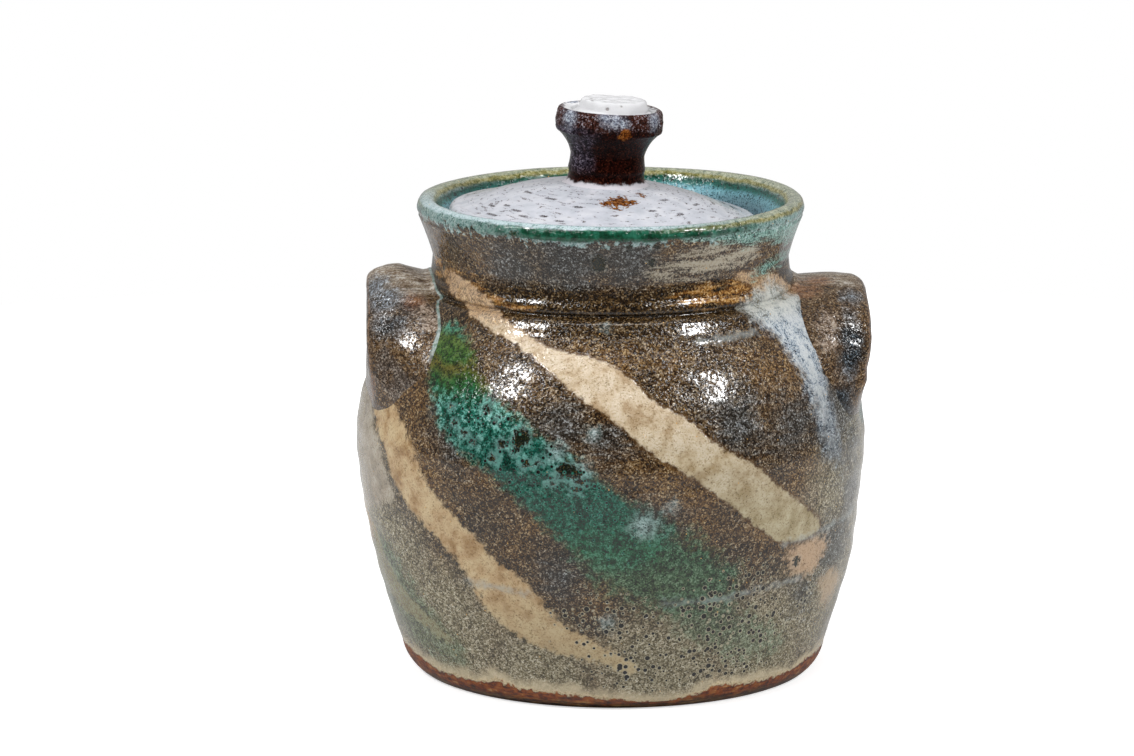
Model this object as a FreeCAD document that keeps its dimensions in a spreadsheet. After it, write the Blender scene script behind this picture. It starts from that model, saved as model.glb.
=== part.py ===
import FreeCAD, Part
import Sketcher
import os
from math import sqrt

# Stoneware bean pot: a thrown pot with a galleried neck, two ear lugs luted on its
# shoulder, and a lid that drops into the gallery, with a thrown knob luted on it.
# Millimetres, +Z up. The foot stands on Z = 0, the pot's axis is the Z axis,
# and the lugs are on -X and +X.

doc = FreeCAD.newDocument("bean_pot")
sheet = doc.addObject("Spreadsheet::Sheet", "Sizes")

# The sizes a designer would change
sizes = {
    # outer form of the pot, radii and heights above the table
    "belly_radius": 90.5,
    "belly_height": 83,
    "belly_turn": 6,
    "foot_radius": 75.8,
    "foot_height": 9.5,
    "foot_inset": 6.4,
    "foot_arc": 14,
    "neck_radius": 63.5,
    "shoulder_height": 135.5,
    "shoulder_step": 1.7,
    "groove_height": 2.2,
    "neck_band_height": 9.5,
    "neck_band_arc": 14,
    "collar_height": 33.6,
    "collar_arc": 50,
    "lip_flare": 4.8,
    "lip_height": 4.3,
    "lip_width": 6.8,
    # hollow of the pot
    "wall": 6.2,
    "floor": 8.5,
    "floor_corner": 16,
    "base_ring_width": 10,
    "base_dish_depth": 1.5,
    # gallery, the ledge inside the neck that carries the lid
    "throat_wall": 6,
    "gallery_drop": 11.7,
    "gallery_width": 7,
    "gallery_thickness": 4.4,
    # lid
    "lid_fit": 2,
    "seat_gap": 0.3,
    "lid_rim_height": 2.8,
    "lid_edge_round": 4.4,
    "lid_foot_width": 7,
    "lid_foot_height": 2.5,
    "lid_rise": 15.8,
    "lid_thickness": 6,
    # knob
    "knob_foot_radius": 16.4,
    "knob_foot_flare": 5,
    "knob_waist_radius": 13.3,
    "knob_waist_height": 10.2,
    "knob_cap_radius": 19,
    "knob_cap_height": 18.2,
    "knob_cap_edge": 8.1,
    "knob_rim_radius": 17.2,
    "knob_boss_radius": 11.4,
    "knob_boss_rise": 4.2,
    # ear lugs
    "handle_core_half": 39,
    "handle_face_half": 29,
    "handle_arch": 16,
    "handle_lower_corner": 13,
    "left_handle_past_belly": -4,
    "left_handle_top_rise": 7,
    "left_handle_height": 35,
    "left_handle_edge": 5,
    "right_handle_past_belly": 0.8,
    "right_handle_top_rise": 4,
    "right_handle_height": 34,
    "right_handle_edge": 9,
}

# Sizes that follow from them
derived = {
    # shoulder arc: upright at the belly, through the foot of the neck
    "shoulder_radius": "=neck_radius + shoulder_step",
    "shoulder_in": "=belly_radius - shoulder_radius",
    "shoulder_up": "=shoulder_height - belly_height",
    "shoulder_arc": "=(shoulder_in^2 + shoulder_up^2) / (2 * shoulder_in)",
    # lower wall arc: takes over where the shoulder arc has turned in by belly_turn degrees
    "join_cos": "=cos(belly_turn)",
    "join_sin": "=sin(belly_turn)",
    "join_radius": "=belly_radius - shoulder_arc * (1 - join_cos)",
    "join_height": "=belly_height - shoulder_arc * join_sin",
    "lower_in": "=join_radius - foot_radius",
    "lower_up": "=join_height - foot_height",
    "lower_arc": "=(lower_in^2 + lower_up^2) / (2 * (lower_in * join_cos - lower_up * join_sin))",
    "base_radius": "=foot_radius - foot_inset",
    # neck, collar and lip
    "groove_top": "=shoulder_height + groove_height",
    "band_top": "=groove_top + neck_band_height",
    "rim_height": "=shoulder_height + collar_height",
    "lip_radius": "=neck_radius + lip_flare",
    "lip_bottom": "=rim_height - lip_height",
    "lip_crown": "=lip_radius - lip_width / 2",
    "lip_inner": "=lip_radius - lip_width",
    "lip_arc": "=lip_width * 0.62",
    # throat and gallery
    "throat_radius": "=neck_radius - throat_wall",
    "lip_inner_height": "=rim_height - lip_height * 0.7",
    "gallery_height": "=rim_height - gallery_drop",
    "gallery_radius": "=throat_radius - gallery_width",
    "gallery_under": "=gallery_height - gallery_thickness",
    "gallery_foot": "=gallery_under - gallery_width",
    # hollow: the same curves as outside, a wall further in
    "hollow_neck_radius": "=neck_radius - wall",
    "hollow_shoulder": "=shoulder_height - wall * 0.45",
    "hollow_belly": "=belly_radius - wall",
    "hollow_in": "=hollow_belly - hollow_neck_radius",
    "hollow_up": "=hollow_shoulder - belly_height",
    "hollow_arc": "=(hollow_in^2 + hollow_up^2) / (2 * hollow_in)",
    "hollow_join": "=hollow_belly - hollow_arc * (1 - join_cos)",
    "hollow_join_height": "=belly_height - hollow_arc * join_sin",
    "hollow_foot_radius": "=foot_radius - wall * 0.55",
    "hollow_foot_height": "=floor + floor_corner * 0.75",
    "hollow_lower_in": "=hollow_join - hollow_foot_radius",
    "hollow_lower_up": "=hollow_join_height - hollow_foot_height",
    "hollow_lower_arc": "=(hollow_lower_in^2 + hollow_lower_up^2)"
                        " / (2 * (hollow_lower_in * join_cos - hollow_lower_up * join_sin))",
    "floor_radius": "=hollow_foot_radius - floor_corner",
    "base_dish_radius": "=base_radius - base_ring_width",
    "base_dish_top": "=base_dish_radius - base_dish_depth",
    # lid, heights above its own underside
    "lid_radius": "=throat_radius - lid_fit",
    "lid_shoulder_radius": "=lid_radius - lid_edge_round",
    "lid_shoulder_height": "=lid_rim_height + lid_edge_round * 0.88",
    "lid_dome_up": "=lid_rise - lid_shoulder_height",
    "lid_dome_arc": "=(lid_shoulder_radius^2 - knob_foot_radius^2) / (2 * lid_dome_up)",
    "lid_foot_radius": "=lid_radius - 1.4",
    "lid_foot_chamfer": "=1.4",
    "lid_foot_inner": "=lid_foot_radius - lid_foot_width",
    "lid_hollow_radius": "=lid_foot_inner - lid_foot_height",
    "lid_hollow_top": "=lid_rise - lid_thickness",
    "lid_hollow_up": "=lid_hollow_top - lid_foot_height",
    "lid_hollow_arc": "=(lid_hollow_radius^2 + lid_hollow_up^2) / (2 * lid_hollow_up)",
    "lid_place": "=gallery_height + seat_gap",
    # knob, heights above the flat land on the lid
    "knob_flare_top": "=knob_foot_flare",
    "knob_flare_arc": "=knob_foot_flare * 1.25",
    "knob_flank_arc": "=knob_waist_radius * 2.6",
    "knob_cap_low": "=knob_cap_radius - 1.2",
    "knob_cap_arc": "=knob_cap_edge * 0.78",
    "knob_rim_height": "=knob_cap_height + knob_cap_edge",
    "knob_dish_radius": "=knob_boss_radius + 1.6",
    "knob_dish_height": "=knob_rim_height - 1.1",
    "knob_boss_foot": "=knob_boss_radius",
    "knob_boss_edge": "=knob_boss_radius - 1.2",
    "knob_boss_side": "=knob_rim_height + knob_boss_rise - 1.2",
    "knob_height": "=knob_rim_height + knob_boss_rise",
    "knob_round": "=1.3",
    "knob_place": "=lid_place + lid_rise",
    # lugs
    "handle_core": "=neck_radius * 0.6",
    "left_handle_reach": "=belly_radius + left_handle_past_belly",
    "left_handle_top": "=shoulder_height + left_handle_top_rise",
    "left_handle_bottom": "=left_handle_top - left_handle_height",
    "right_handle_reach": "=belly_radius + right_handle_past_belly",
    "right_handle_top": "=shoulder_height + right_handle_top_rise",
    "right_handle_bottom": "=right_handle_top - right_handle_height",
}

for row, (name, value) in enumerate([*sizes.items(), *derived.items()], start=1):
    sheet.set(f"A{row}", name)
    sheet.set(f"B{row}", str(value))
    sheet.setAlias(f"B{row}", name)
doc.recompute()


def size(name):
    """The present value of a sheet cell; "axis" and "base" are 0."""
    if name in ("axis", "base"):
        return 0.0
    sign = -1 if name.startswith("-") else 1
    return sign * float(sheet.get(name.lstrip("-")))


def arcBetween(start, end, radius, side):
    """An arc from start to end that bulges to the side given: "left" or "right" of the way."""
    dx, dy = end[0] - start[0], end[1] - start[1]
    chord = sqrt(dx * dx + dy * dy)
    toCentre = sqrt(radius * radius - chord * chord / 4)
    turn = 1 if side == "right" else -1
    cx = (start[0] + end[0]) / 2 - turn * dy / chord * toCentre
    cy = (start[1] + end[1]) / 2 + turn * dx / chord * toCentre
    bulge = (cx + turn * dy / chord * radius, cy - turn * dx / chord * radius)
    points = [FreeCAD.Vector(x, y, 0) for x, y in (start, bulge, end)]
    return Part.Arc(*points)


def holdPoint(sketch, geometry, which, across, up):
    """Hold a corner of a sketch at two sheet sizes, measured from its origin."""
    for kind, axis, name in (("DistanceX", -2, across), ("DistanceY", -1, up)):
        if name in ("axis", "base"):
            sketch.addConstraint(Sketcher.Constraint("PointOnObject", geometry, which, axis))
            continue
        held = Sketcher.Constraint(kind, -1, 1, geometry, which, size(name))
        number = sketch.addConstraint(held)
        sign = "-" if name.startswith("-") else ""
        sketch.setExpression(f"Constraints[{number}]", f"{sign}Sizes.{name.lstrip('-')}")


def drawOutline(sketch, corners, arcs):
    """A closed outline through the corners; arcs[i] = (radius size, side) bends side i."""
    places = [(size(across), size(up)) for across, up in corners]
    count = len(corners)
    for i in range(count):
        start, end = places[i], places[(i + 1) % count]
        if i in arcs:
            radius, side = arcs[i]
            arc = arcBetween(start, end, size(radius), side)
            sketch.addGeometry(arc, False)
        else:
            line = Part.LineSegment(FreeCAD.Vector(*start, 0), FreeCAD.Vector(*end, 0))
            sketch.addGeometry(line, False)
    # an arc built through three points may run the other way round: find which end is which
    ends = []
    for i in range(count):
        first = sketch.getPoint(i, 1)
        near = abs(first.x - places[i][0]) + abs(first.y - places[i][1]) < 1e-4
        ends.append((1, 2) if near else (2, 1))
    for i in range(count):
        following = (i + 1) % count
        joined = Sketcher.Constraint("Coincident", i, ends[i][1], following, ends[following][0])
        sketch.addConstraint(joined)
    for i, (across, up) in enumerate(corners):
        holdPoint(sketch, i, ends[i][0], across, up)
    for i, (radius, side) in arcs.items():
        number = sketch.addConstraint(Sketcher.Constraint("Radius", i, size(radius)))
        sketch.setExpression(f"Constraints[{number}]", f"Sizes.{radius}")


def turned(name, corners, arcs):
    """A solid turned about Z from an outline of radii and heights; its seam is at the back."""
    sketch = doc.addObject("Sketcher::SketchObject", f"{name}_outline")
    upright = FreeCAD.Rotation(FreeCAD.Vector(1, 1, 1), 120)
    sketch.Placement = FreeCAD.Placement(FreeCAD.Vector(0, 0, 0), upright)
    drawOutline(sketch, corners, arcs)
    solid = doc.addObject("Part::Revolution", name)
    solid.Label = name
    solid.Source = sketch
    solid.Axis = FreeCAD.Vector(0, 0, 1)
    solid.Base = FreeCAD.Vector(0, 0, 0)
    solid.Angle = 360
    solid.Solid = True
    return solid


def cut(name, base, tool):
    """What is left of base after tool is taken out of it."""
    left = doc.addObject("Part::Cut", name)
    left.Label = name
    left.Base = base
    left.Tool = tool
    return left


# Pot: the thrown form, filled
potForm = turned(
    "pot_form",
    [
        ("axis", "base"),
        ("base_radius", "base"),
        ("foot_radius", "foot_height"),
        ("join_radius", "join_height"),
        ("shoulder_radius", "shoulder_height"),
        ("neck_radius", "groove_top"),
        ("neck_radius", "band_top"),
        ("lip_radius", "lip_bottom"),
        ("lip_crown", "rim_height"),
        ("axis", "rim_height"),
    ],
    {
        1: ("foot_arc", "right"),
        2: ("lower_arc", "right"),
        3: ("shoulder_arc", "right"),
        5: ("neck_band_arc", "right"),
        6: ("collar_arc", "left"),
        7: ("lip_arc", "right"),
    },
)

# the hollow, from the lip down through the throat and gallery to the floor
potHollow = turned(
    "pot_hollow",
    [
        ("axis", "floor"),
        ("floor_radius", "floor"),
        ("hollow_foot_radius", "hollow_foot_height"),
        ("hollow_join", "hollow_join_height"),
        ("hollow_neck_radius", "hollow_shoulder"),
        ("hollow_neck_radius", "gallery_foot"),
        ("gallery_radius", "gallery_under"),
        ("gallery_radius", "gallery_height"),
        ("throat_radius", "gallery_height"),
        ("lip_inner", "lip_inner_height"),
        ("lip_crown", "rim_height"),
        ("axis", "rim_height"),
    ],
    {
        1: ("floor_corner", "right"),
        2: ("hollow_lower_arc", "right"),
        3: ("hollow_arc", "right"),
        9: ("lip_arc", "left"),
    },
)

# the shallow dish under the foot, inside the flat ring the pot stands on
baseDish = turned(
    "base_dish",
    [
        ("axis", "base"),
        ("base_dish_radius", "base"),
        ("base_dish_top", "base_dish_depth"),
        ("axis", "base_dish_depth"),
    ],
    {},
)
potShell = cut("pot_shell", potForm, potHollow)
potBody = cut("pot_body", potShell, baseDish)


def rounded(body, feature, name, onEdge, radius):
    """Round the edges of feature that onEdge picks."""
    edges = [f"Edge{n}" for n, edge in enumerate(feature.Shape.Edges, start=1) if onEdge(edge.BoundBox)]
    fillet = body.newObject("PartDesign::Fillet", name)
    fillet.Base = (feature, edges)
    fillet.setExpression("Radius", f"Sizes.{radius}")
    doc.recompute()
    return fillet


def lug(name, side):
    """An ear lug: a tapered block, arched at the top, cut to the outside of the pot."""
    form = doc.addObject("PartDesign::Body", f"{name}_form")
    plane = next(item for item in form.Origin.OriginFeatures if item.Role == "XY_Plane")
    plan = form.newObject("Sketcher::SketchObject", f"{name}_plan")
    plan.AttachmentSupport = (plane, "")
    plan.MapMode = "FlatFace"
    plan.setExpression("AttachmentOffset.Base.z", f"Sizes.{side}_handle_bottom")
    reach = f"{side}_handle_reach"
    corners = [
        ("handle_core", "-handle_core_half"),
        (reach, "-handle_face_half"),
        (reach, "handle_face_half"),
        ("handle_core", "handle_core_half"),
    ]
    drawOutline(plan, corners, {})
    block = form.newObject("PartDesign::Pad", f"{name}_block")
    block.Profile = plan
    block.setExpression("Length", f"Sizes.{side}_handle_height")
    doc.recompute()
    top = size(f"{side}_handle_top")
    bottom = size(f"{side}_handle_bottom")
    face = size(reach)

    def topSide(box):
        return box.XLength > 5 and box.ZMin > top - 0.01

    def lowerSide(box):
        return box.XLength > 5 and box.ZMax < bottom + 0.01

    def onFace(box):
        return box.XMin > face - 0.01

    arched = rounded(form, block, f"{name}_arch", topSide, "handle_arch")
    eased = rounded(form, arched, f"{name}_lower_corners", lowerSide, "handle_lower_corner")
    rounded(form, eased, f"{name}_face_edge", onFace, f"{side}_handle_edge")
    if side == "left":
        form.Placement = FreeCAD.Placement(FreeCAD.Vector(), FreeCAD.Rotation(180, 0, 0))
    return cut(name, form, potForm)


handleLeft = lug("handle_left", "left")
handleRight = lug("handle_right", "right")

# Lid: a shallow dome with a thick rounded edge, hollow underneath, and a flat land for the knob
lid = turned(
    "lid",
    [
        ("axis", "lid_hollow_top"),
        ("lid_hollow_radius", "lid_foot_height"),
        ("lid_foot_inner", "base"),
        ("lid_foot_radius", "base"),
        ("lid_radius", "lid_foot_chamfer"),
        ("lid_radius", "lid_rim_height"),
        ("lid_shoulder_radius", "lid_shoulder_height"),
        ("knob_foot_radius", "lid_rise"),
        ("axis", "lid_rise"),
    ],
    {
        0: ("lid_hollow_arc", "left"),
        5: ("lid_edge_round", "right"),
        6: ("lid_dome_arc", "right"),
    },
)
lid.setExpression("Placement.Base.z", "Sizes.lid_place")

# Knob: flared foot, waist, cap with a sharp rim, and a raised boss in a shallow dish
knob = turned(
    "lid_knob",
    [
        ("axis", "base"),
        ("knob_foot_radius", "base"),
        ("knob_waist_radius", "knob_flare_top"),
        ("knob_waist_radius", "knob_waist_height"),
        ("knob_cap_low", "knob_cap_height"),
        ("knob_rim_radius", "knob_rim_height"),
        ("knob_dish_radius", "knob_dish_height"),
        ("knob_boss_foot", "knob_rim_height"),
        ("knob_boss_radius", "knob_boss_side"),
        ("knob_boss_edge", "knob_height"),
        ("axis", "knob_height"),
    ],
    {
        1: ("knob_flare_arc", "left"),
        3: ("knob_flank_arc", "left"),
        4: ("knob_cap_arc", "right"),
        8: ("knob_round", "right"),
    },
)
knob.setExpression("Placement.Base.z", "Sizes.knob_place")

doc.recompute()

for item in doc.Objects:
    state = list(item.State)
    if "Invalid" in state or "Error" in state:
        raise RuntimeError(f"{item.Name} is {state}")

parts = [potBody, handleLeft, handleRight, lid, knob]
os.makedirs("parts", exist_ok=True)
for part in parts:
    shape = part.Shape
    if shape.isNull() or not shape.isValid() or len(shape.Solids) != 1:
        raise RuntimeError(f"{part.Label} has no sound single solid")
    shape.exportStep(f"parts/{part.Label}.step")
    box = shape.BoundBox
    spans = [round(v, 1) for v in (box.XMin, box.XMax, box.YMin, box.YMax, box.ZMin, box.ZMax)]
    print(part.Label, "box", spans, "volume", round(shape.Volume))
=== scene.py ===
from functools import partial
from math import asin, atan2, cos, hypot, pi, radians, sin

import bmesh
import bpy
import numpy as np
from mathutils import Matrix, Vector, noise


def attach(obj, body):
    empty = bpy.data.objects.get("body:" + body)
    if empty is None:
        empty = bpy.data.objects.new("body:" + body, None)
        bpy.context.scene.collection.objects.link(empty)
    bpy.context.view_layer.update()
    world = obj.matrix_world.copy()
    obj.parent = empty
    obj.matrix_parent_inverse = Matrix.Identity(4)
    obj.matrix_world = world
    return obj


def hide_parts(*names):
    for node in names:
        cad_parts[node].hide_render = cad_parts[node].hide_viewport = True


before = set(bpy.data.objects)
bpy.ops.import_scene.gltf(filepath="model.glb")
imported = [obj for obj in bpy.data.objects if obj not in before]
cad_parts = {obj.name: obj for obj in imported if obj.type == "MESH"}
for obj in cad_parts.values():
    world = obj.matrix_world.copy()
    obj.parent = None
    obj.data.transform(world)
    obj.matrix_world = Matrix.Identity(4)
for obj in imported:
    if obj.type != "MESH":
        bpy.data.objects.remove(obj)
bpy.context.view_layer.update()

mm = 0.001  # every shape below is written in millimetres and made metres at the end
print("bean pot: frame loaded, nodes", sorted(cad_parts))


# ---- turning and finishing shapes

# (radius, height, bow, step): bow lifts the run up to that corner, + away from the clay
def bowedLine(corners):
    line = [corners[0][:2]]
    for (ax, az, *_), (bx, bz, bow, step) in zip(corners, corners[1:]):
        dx, dz = bx - ax, bz - az
        chord = hypot(dx, dz)
        count = max(1, round(chord / step))
        for i in range(1, count + 1):
            along, rise = i / count, 0.0
            if bow:
                arc = (chord * chord / 4 + bow * bow) / (2 * abs(bow))
                half = asin(chord / 2 / arc)
                turn = (2 * along - 1) * half
                rise = arc * (cos(turn) - cos(half)) * (1 if bow > 0 else -1)
                along = 0.5 + arc * sin(turn) / chord
            line.append((ax + dx * along + dz / chord * rise, az + dz * along - dx / chord * rise))
    return line


def thrown(outline, steps):  # a piece turned on the wheel, its seam at the back
    bm = bmesh.new()
    corners = [bm.verts.new((0, r, z)) for r, z in outline]
    sides = [bm.edges.new(pair) for pair in zip(corners, corners[1:])]
    bmesh.ops.spin(bm, geom=corners + sides, axis=(0, 0, 1), angle=2 * pi, steps=steps, use_merge=True)
    bmesh.ops.remove_doubles(bm, verts=bm.verts, dist=0.002)
    bmesh.ops.recalc_face_normals(bm, faces=bm.faces)
    return bm


def meshFrom(bm, name):
    mesh = bpy.data.meshes.new(name)
    bm.to_mesh(mesh)
    bm.free()
    mesh.shade_smooth()
    return mesh


def points(mesh):  # vertex places as rows of x, y, z
    flat = np.empty(len(mesh.vertices) * 3)
    mesh.vertices.foreach_get("co", flat)
    return flat.reshape(-1, 3)


def setPoints(mesh, places):
    mesh.vertices.foreach_set("co", places.ravel())
    mesh.update()


def normalsOf(mesh):
    flat = np.empty(len(mesh.vertices) * 3)
    mesh.vertices.foreach_get("normal", flat)
    return flat.reshape(-1, 3)


def mark(mesh, name, values):  # a number at every vertex, which the glaze reads by name
    layer = mesh.attributes.new(name, "FLOAT", "POINT")
    layer.data.foreach_set("value", np.asarray(values, np.float32))


def lumps(places, size, seed=0.0):  # soft clay unevenness, about -1 to 1, one value a vertex
    shift = Vector((seed, seed * 2, seed * 3))
    return np.array([noise.noise(Vector(p) / size + shift) for p in places])


def place(mesh, name, body, node, material):
    setPoints(mesh, points(mesh) * mm)
    piece = bpy.data.objects.new(name, mesh)
    bpy.context.scene.collection.objects.link(piece)
    mesh.materials.append(material)
    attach(piece, body)
    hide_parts(node)
    print("bean pot:", name, len(mesh.polygons), "faces")
    return piece


# ---- glaze nodes

def linear(text):  # sRGB hex to linear
    parts = [int(text[i:i + 2], 16) / 255 for i in (1, 3, 5)]
    return [*(c / 12.92 if c <= 0.04045 else ((c + 0.055) / 1.055) ** 2.4 for c in parts), 1.0]


shorthand = {  # the nodes used most here: node, the sockets its values go to in turn, its settings
    "blend": ("Mix", (0, 6, 7), {"data_type": "RGBA"}),
    "tint": ("Mix", (0, 6, 7), {"data_type": "RGBA", "blend_type": "MULTIPLY"}),
    "between": ("Mix", (0, 2, 3), {}),
    "range": ("MapRange", (0, 1, 2, 3, 4), {}),
    "fade": ("MapRange", (0, 1, 2, 3, 4), {"interpolation_type": "SMOOTHSTEP"}),
    "plus": ("Math", (0, 1), {}),
    "times": ("Math", (0, 1), {"operation": "MULTIPLY"}),
    "scaled": ("Math", (0, 1, 2), {"operation": "MULTIPLY_ADD"}),
    "stretched": ("VectorMath", (0, 1), {"operation": "MULTIPLY"}),
    "ramp": ("ValToRGB", (0,), {}),
}


def add(tree, kind, *values, stops=None, **settings):  # one node, its settings, its links and its ramp
    kind, sockets, usual = shorthand.get(kind, (kind, (), {}))
    made = tree.nodes.new("ShaderNode" + kind)
    for name, value in {**usual, **settings}.items():
        setattr(made, name, value)
    inputs = dict(zip(sockets, values)) if sockets else (values[0] if values else {})
    for socket, value in inputs.items():
        if isinstance(value, bpy.types.Node):
            value = next(o for o in value.outputs if o.enabled)
        if isinstance(value, bpy.types.NodeSocket):
            tree.links.new(value, made.inputs[socket])
        else:
            made.inputs[socket].default_value = linear(value) if isinstance(value, str) else value
    if stops:
        ramp = made.color_ramp
        while len(ramp.elements) < len(stops):
            ramp.elements.new(0.5)
        for element, (at, colour) in zip(ramp.elements, stops):
            element.position, element.color = at, linear(colour)
    return made


def newMaterial(name):  # and what adds a node to it
    material = bpy.data.materials.new(name)
    material.use_nodes = True
    material.node_tree.nodes.clear()
    return material, partial(add, material.node_tree)


def finishMaterial(node, surface, thickness):  # the shader, with its relief in mm
    bump = node("Bump", {"Strength": 1.0, "Distance": mm, "Height": thickness})
    node("OutputMaterial", {"Surface": node("BsdfPrincipled", {**surface, "Normal": bump})})


noises = {  # size in mm, detail, roughness
    "grain": (0.5, 2, 0.6),   # crystals and iron specks, about half a millimetre
    "bead": (1.1, 2, 0.6),    # clusters of them
    "fleck": (2.4, 3, 0.6),   # mottling
    "blot": (7.0, 3, 0.6),    # drifting patches
    "cloud": (26.0, 2, 0.5),  # thick and thin glaze
}
crystalSize = 0.5  # mm; real crystals are finer than a render shows, so each is drawn this wide


def grains(node):  # the place in millimetres, and the noises every glaze here is made of
    ground = node("VectorMath", {0: node("TexCoord").outputs["Object"], "Scale": 1000}, operation="SCALE")
    grain, bead, fleck, blot, cloud = [
        node("TexNoise", {"Vector": ground, "Scale": 1 / size, "Detail": detail, "Roughness": rough}).outputs["Fac"]
        for size, detail, rough in noises.values()]
    # crystals are dark or light by chance, in drifts
    cell = node("TexVoronoi", {"Vector": ground, "Scale": 1 / crystalSize}).outputs["Color"]
    soft = node("scaled", node("between", 0.45, grain, fleck), 1.5, -0.25)
    speck = node("between", 0.38, soft, node("SeparateColor", {0: cell}).outputs[0]).outputs[0]
    return ground, grain, bead, fleck, blot, cloud, speck


def marked(node, *names):  # the numbers that mark() left at the vertices
    return [node("Attribute", attribute_name=name).outputs["Fac"] for name in names]


def brushed(node, below, above, region, ragged, soft, wobble, lift=0.0, strength=1.0):
    # lays one glaze over another where a region's distance is positive, with an uneven edge
    reach = node("scaled", wobble, ragged, lift - ragged / 2)
    mask = node("fade", node("plus", region, reach), -soft, soft)
    laid = node("blend", mask, below, above)
    if strength != 1.0:
        laid = node("blend", strength, below, laid)
    return laid, mask


# ---- the pot

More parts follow.
